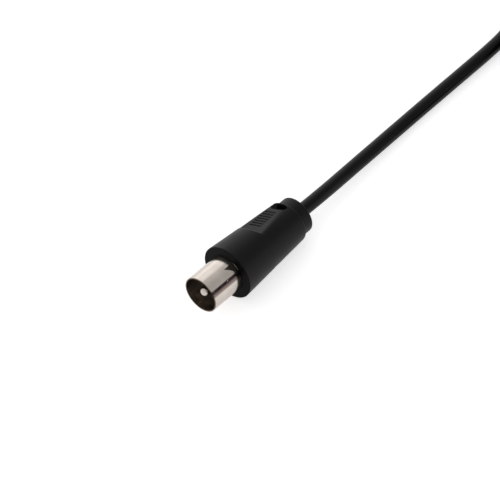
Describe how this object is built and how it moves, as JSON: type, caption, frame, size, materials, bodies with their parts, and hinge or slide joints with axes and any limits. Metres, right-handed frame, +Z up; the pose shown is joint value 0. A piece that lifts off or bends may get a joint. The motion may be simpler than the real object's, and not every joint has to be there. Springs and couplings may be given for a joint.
{
  "type": "coaxial aerial lead",
  "caption": "Thin coaxial aerial lead with a moulded push-fit aerial plug at each end: rolled contact sleeve, centre pin, tapered ribbed grip, and the spare cord coiled and tied.",
  "frame": {"origin": "on the surface it lies on, under the middle of the near plug's length", "axes": "+X along the near plug from its mouth towards the cord, +Z up"},
  "size_m": [0.1604, 0.0458, 0.0175],
  "materials": {
    "black_moulding": "satin moulded vinyl",
    "nickel": "bright nickel plate, lightly drawn",
    "nickel_pin": "bright nickel plate, turned",
    "dark_insulator": "plain dark plastic",
    "pale_moulding": "waxy pale plastic",
    "cord_jacket": "smooth satin vinyl",
    "copper_braid": "fine woven wire",
    "pale_core": "waxy foam",
    "copper_core": "drawn wire",
    "solder": "dull solder",
    "tie": "satin covered wire tie"
  },
  "bodies": {
    "root": {"grip_moulding": "black_moulding", "contact_sleeve": "nickel", "centre_pin": "nickel_pin", "insulator": "dark_insulator", "inner_moulding": "pale_moulding", "jacket_end": "cord_jacket", "braid_end": "copper_braid", "core_end": "pale_core", "conductor_end": "copper_core", "pin_solder": "solder", "cord_lead": "cord_jacket", "cord_coil": "cord_jacket", "cord_tail": "cord_jacket", "coil_tie": "tie", "far_grip_moulding": "black_moulding", "far_contact_sleeve": "nickel", "far_centre_pin": "nickel_pin", "far_insulator": "dark_insulator", "far_inner_moulding": "pale_moulding", "far_jacket_end": "cord_jacket", "far_braid_end": "copper_braid", "far_core_end": "pale_core", "far_conductor_end": "copper_core", "far_pin_solder": "solder"}
  },
  "joints": []
}
